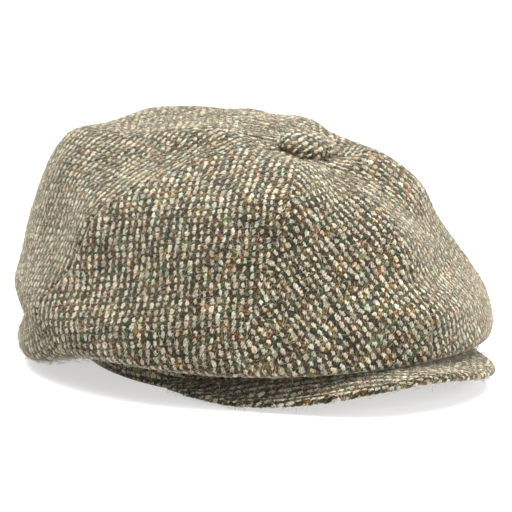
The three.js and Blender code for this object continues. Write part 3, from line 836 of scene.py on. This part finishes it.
# angle is a share of the half angle, depth and arch of their sizes, inner and outer of the band's height
PEAK_ROWS = (
    dict(angle=0.00, depth=1.00, inner=0.65, outer=0.68, arch=0.45),
    dict(angle=0.22, depth=0.91, inner=0.60, outer=0.50, arch=0.70),
    dict(angle=0.44, depth=0.63, inner=0.46, outer=0.20, arch=1.00),
    dict(angle=0.66, depth=0.45, inner=0.27, outer=0.05, arch=0.90),
    dict(angle=0.84, depth=0.30, inner=0.14, outer=0.05, arch=0.45),
    dict(angle=1.00, depth=0.15, inner=0.08, outer=0.07, arch=0.15),
)
PEAK_TURNS = 330
PEAK_ACROSS = 56
PEAK_ROLL = 10
PEAK_GRAIN = -2
PEAK_SEED = 41
PEAK_SHIFT = 700
PEAK_WEAVE_MIDDLE = 0.8
PEAK_END_FADE = 6
PEAK_FIBRE_SEED = 121


def peak_row(share, column):
    shares = np.array([row["angle"] for row in PEAK_ROWS])
    values = np.array([row[column] for row in PEAK_ROWS])
    k = np.clip(np.searchsorted(shares, share) - 1, 0, len(shares) - 2)
    ends = np.concatenate([[values[1]], values, [2 * values[-1] - values[-2]]])
    t = (share - shares[k]) / (shares[k + 1] - shares[k])
    return catmull(ends[k], ends[k + 1], ends[k + 2], ends[k + 3], t)


along_peak = np.linspace(1, -1, PEAK_TURNS + 1)
share = np.abs(along_peak)
degrees = along_peak * PEAK_HALF_ANGLE
half = PEAK_THICKNESS / 2
inside = oval_radius(degrees, BAND_HALF_WIDTH, BAND_HALF_LENGTH) + SEWN_GAP
outside = inside + PEAK_DEPTH * peak_row(share, "depth") - half
inner_z = BAND_HEIGHT * peak_row(share, "inner") + half
outer_z = BAND_HEIGHT * peak_row(share, "outer") + half
twist = along_peak / PEAK_TWIST_REACH
outer_z = outer_z + PEAK_TWIST * math.sqrt(2) * twist * np.exp(0.5 - twist**2)
arch = PEAK_ARCH * peak_row(share, "arch")
run = np.linspace(0, 1, PEAK_ACROSS + 1)
roll = np.radians(np.linspace(-90, 90, PEAK_ROLL + 1)[1:-1])
middle = []
for s in run:
    z = inner_z + (outer_z - inner_z) * s + arch * 4 * s * (1 - s)
    middle.append((inside + (outside - inside) * s, z))
underside = [(radius, z - half) for radius, z in middle]
edge = [(outside + half * math.cos(a), outer_z + half * math.sin(a)) for a in roll]
topside = [(radius, z + half) for radius, z in middle[::-1]]
section = underside + edge + topside
points = np.stack([plan_point(degrees, radius, 0, z) for radius, z in section], axis=1)
seam_place = len(underside)
beyond = np.zeros(points.shape[:2])
edge_points = points[:, seam_place - 1 : seam_place + PEAK_ROLL]
edge_steps = np.linalg.norm(np.diff(edge_points, axis=1), axis=-1)
edge_run = np.cumsum(edge_steps[:, ::-1], axis=1)[:, ::-1]
beyond[:, seam_place - 1 : seam_place + PEAK_ROLL - 1] = edge_run
outward = plan_point(degrees, 1.0, 0, 0.0) - np.array([CAP_CENTRE.x, CAP_CENTRE.y, 0])
flat = points[..., :2] + outward[:, None, :2] * beyond[..., None]
flat = np.concatenate([flat, flat[:, :1]], axis=1)
threads = drift(turn(flat, PEAK_GRAIN), PEAK_SEED) + PEAK_SHIFT
peak_normals = unit(np.cross(np.gradient(points, axis=0), np.gradient(points, axis=1)))
to_end = np.minimum(np.arange(PEAK_TURNS + 1), PEAK_TURNS - np.arange(PEAK_TURNS + 1))
ends = np.clip(to_end / PEAK_END_FADE, 0, 1)
sewn = np.ones(len(section))
sewn[[0, -1]] = 0
relief = RELIEF * (weave_height(threads[:, :-1]) - PEAK_WEAVE_MIDDLE) * ends[:, None] * sewn[None]
points = points + peak_normals * relief[..., None]
peak = ring_mesh("peak_cover", points, threads, woven_tweed, closed=False)
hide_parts("peak")
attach(peak, "root")
loose_fibres(peak, PEAK_TURNS * len(section), PEAK_FIBRE_SEED)

# Button
# A metal button covered with a disc of the same tweed, pulled over its rim. It sits where the
# eight gores meet, on a short shank through the hole between their tips.
BUTTON_RADIUS = 15 * MM
BUTTON_RIM = 2 * MM
BUTTON_DOME = 5.5 * MM
SHANK_RADIUS = 2.2 * MM
BUTTON_TURNS = 132
BUTTON_RINGS = 26
BUTTON_TIP = 0.05 * MM
BUTTON_GRAIN = 55
BUTTON_SEED = 51
BUTTON_SHIFT = 900
BUTTON_WEAVE_MIDDLE = 0.8
BUTTON_FIBRE_SEED = 131

tilt = math.atan(SEAT_SLOPE)
dome = np.linspace(math.pi / 2, 0, BUTTON_RINGS)[:-1]
cover = []
for a in dome:
    z = BUTTON_RIM + BUTTON_DOME * math.sin(a)
    cover.append(((BUTTON_RADIUS - 0.25 * BUTTON_RIM) * math.cos(a), z))
cover[0] = (BUTTON_TIP, cover[0][1])
cover += [(BUTTON_RADIUS - 0.1 * MM, 0.8 * BUTTON_RIM), (BUTTON_RADIUS, BUTTON_RIM / 2)]
cover += [(BUTTON_RADIUS - BUTTON_RIM / 2, 0), (SHANK_RADIUS, 0)]
cover += [(SHANK_RADIUS, -CLOTH_THICKNESS - 2 * SEWN_GAP)]
profile = np.array(cover)
length = np.concatenate([[0], np.cumsum(np.linalg.norm(np.diff(profile, axis=0), axis=-1))])
around_button = np.linspace(0, 2 * math.pi, BUTTON_TURNS + 1)
heading = np.stack([np.cos(around_button), np.sin(around_button)], axis=-1)
flat = heading[:, None] * length[None, :, None]
threads = drift(turn(flat, BUTTON_GRAIN), BUTTON_SEED) + BUTTON_SHIFT
raised = (profile[:, 1] > 0)[None] * RELIEF * (weave_height(threads) - BUTTON_WEAVE_MIDDLE)
radius = profile[None, :, 0] + raised * (profile[:, 0] / BUTTON_RADIUS)[None] ** 3
z = profile[None, :, 1] + SEWN_GAP + raised
x = heading[:, None, 0] * radius
y = heading[:, None, 1] * radius
tilted_y = y * math.cos(tilt) - z * math.sin(tilt)
tilted_z = y * math.sin(tilt) + z * math.cos(tilt)
points = np.stack([x, tilted_y, tilted_z], axis=-1)
points += [CAP_CENTRE.x, CAP_CENTRE.y - BUTTON_FORWARD, BAND_HEIGHT + SEAT_RISE]
at = np.arange(BUTTON_TURNS * len(profile)).reshape(BUTTON_TURNS, len(profile))
faces = []
face_uvs = []
for i in range(BUTTON_TURNS):
    after = (i + 1) % BUTTON_TURNS
    for j in range(len(profile) - 1):
        faces.append([int(v) for v in (at[i, j], at[i, j + 1], at[after, j + 1], at[after, j])])
        face_uvs += [threads[i, j], threads[i, j + 1], threads[i + 1, j + 1], threads[i + 1, j]]
faces += [at[:, 0].tolist(), at[::-1, -1].tolist()]
face_uvs += list(threads[:-1, 0]) + list(threads[-2::-1, -1])
button = mesh_object("covered_button", points[:-1].reshape(-1, 3), faces, face_uvs, woven_tweed)
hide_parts("button")
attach(button, "root")
loose_fibres(button, BUTTON_TURNS * (len(profile) - 1), BUTTON_FIBRE_SEED)

# Studio
# A pale floor that glows a little, painted light that fades the shadows on it and lights the cap from
# below, under a large soft light from above and weaker ones from the front left and the rear right.
# The camera is at the photograph's angle: forty degrees round to the wearer's right, a little above.
FLOOR_COLOUR = "b8b7b5"
FLOOR_GLOW = 0.56
FLOOR_HALF = 12.0
HORIZON_TOP = 0.2
HORIZON_STRENGTH = 0.95
OVERHEAD_STRENGTH = 0.15
CAMERA_ROUND = math.radians(-40.33)
CAMERA_UP = math.radians(11.96)
CAMERA_DISTANCE = 1.1
CAMERA_TARGET = Vector((6.70 * MM, 7.23 * MM, 49.0 * MM)) + Vector((CAP_CENTRE.x, CAP_CENTRE.y, 0))
LENS_SHARE = 1.904
IMAGE_SIDE = 512
SENSOR = 36.0
LAMP_AIM = Vector((0, 0, 60 * MM))
LAMPS = (
    dict(name="overhead_softbox", place=(0.1, 0.1, 2.4), power=290, size=3.0),
    dict(name="front_left_softbox", place=(0.3, -1.25, 0.45), power=18, size=0.9),
    dict(name="rear_right_softbox", place=(-0.95, 0.80, 0.9), power=3, size=0.8),
)

floor_mesh = bpy.data.meshes.new("studio_floor")
corners = [(FLOOR_HALF * x, FLOOR_HALF * y, 0) for x, y in ((-1, -1), (1, -1), (1, 1), (-1, 1))]
floor_mesh.from_pydata(corners, [], [(0, 1, 2, 3)])
floor = bpy.data.objects.new("studio_floor", floor_mesh)
bpy.context.scene.collection.objects.link(floor)

# Matt pale floor that glows a little: painted light, in which shadows almost fade out
glowing_floor = bpy.data.materials.new("glowing_white_floor")
glowing_floor.use_nodes = True
glowing_floor_shader = glowing_floor.node_tree.nodes["Principled BSDF"]
glowing_floor_shader.inputs["Emission Color"].default_value = (1, 1, 1, 1)
# Painted light: the floor's own glow, which fades its shadows and lights the cap from below
glowing_floor_shader.inputs["Emission Strength"].default_value = FLOOR_GLOW
glowing_floor_shader.inputs["Base Color"].default_value = srgb(FLOOR_COLOUR)
glowing_floor_shader.inputs["Roughness"].default_value = 1.0
floor_mesh.materials.append(glowing_floor)

# White all round the horizon, and dimmer overhead where the softbox does the lighting
world = bpy.data.worlds.new("studio_white")
bpy.context.scene.world = world
world.use_nodes = True
sky = world.node_tree
heading = add_node(sky, "ShaderNodeTexCoord").outputs["Generated"]
steepness = add_node(sky, "ShaderNodeSeparateXYZ", (heading,)).outputs[2]
fade = (steepness, HORIZON_TOP, 2.5 * HORIZON_TOP, HORIZON_STRENGTH, OVERHEAD_STRENGTH)
fade = add_node(sky, MAP_RANGE, fade, interpolation_type="SMOOTHSTEP").outputs[0]
sky.nodes["Background"].inputs[0].default_value = (1, 1, 1, 1)
sky.links.new(fade, sky.nodes["Background"].inputs[1])

for row in LAMPS:
    softbox = bpy.data.lights.new(row["name"], "AREA")
    softbox.energy = row["power"]
    softbox.size = row["size"]
    light = bpy.data.objects.new(row["name"], softbox)
    light.location = row["place"]
    light.rotation_euler = (LAMP_AIM - light.location).to_track_quat("-Z", "Y").to_euler()
    bpy.context.scene.collection.objects.link(light)

level = math.cos(CAMERA_UP)
back = Vector((math.sin(CAMERA_ROUND) * level, -math.cos(CAMERA_ROUND) * level, math.sin(CAMERA_UP)))
lens = bpy.data.cameras.new("camera")
lens.sensor_width = SENSOR
lens.lens = LENS_SHARE * CAMERA_DISTANCE * 1000 * SENSOR / IMAGE_SIDE
lens.clip_end = 50
camera = bpy.data.objects.new("camera", lens)
camera.location = CAMERA_TARGET + back * CAMERA_DISTANCE
camera.rotation_euler = (-back).to_track_quat("-Z", "Y").to_euler()
bpy.context.scene.collection.objects.link(camera)
bpy.context.scene.camera = camera

bpy.context.scene.view_settings.view_transform = "Standard"
